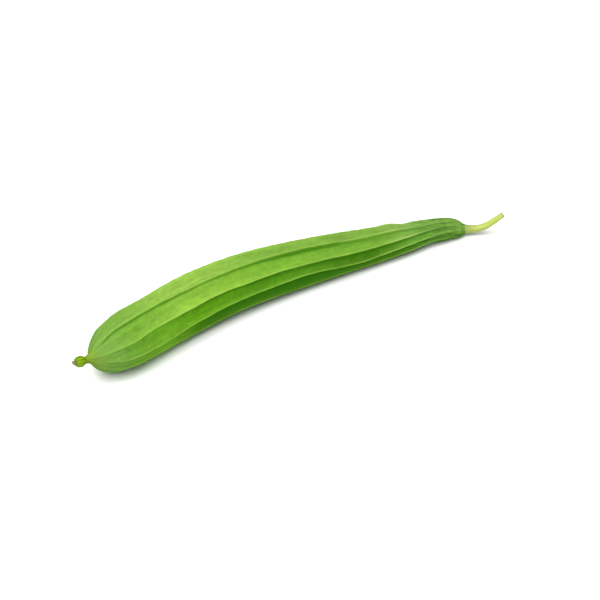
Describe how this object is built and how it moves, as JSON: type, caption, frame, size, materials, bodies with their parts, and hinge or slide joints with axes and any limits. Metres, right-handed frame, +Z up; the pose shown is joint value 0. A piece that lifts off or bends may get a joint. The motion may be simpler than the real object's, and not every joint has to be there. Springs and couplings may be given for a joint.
{
  "type": "ridge gourd",
  "caption": "Long club-shaped ridged gourd, as picked, lying on its side, with a curled stalk and a small knob with dry flower remains at the beak.",
  "frame": {"origin": "on the surface the gourd lies on, under the middle of its bounding box", "axes": "+X along the gourd from the beak to the stalk, +Z up from the surface it lies on, +Y to the outside of its bend"},
  "size_m": [0.3901, 0.0673, 0.0452],
  "materials": {
    "gourd_skin": "satin, waxy ridged skin",
    "stalk_skin": "satin, smooth pale green stalk",
    "cup_skin": "satin, fleshy green",
    "dry_flower": "matt, dry and brittle"
  },
  "bodies": {
    "root": {"fruit": "gourd_skin", "stalk": "stalk_skin", "calyx_cup": "cup_skin", "dry_sepal_1": "dry_flower", "dry_sepal_2": "dry_flower", "dry_sepal_3": "dry_flower", "dry_sepal_4": "dry_flower", "dry_sepal_5": "dry_flower", "style_stub": "dry_flower"}
  },
  "joints": []
}
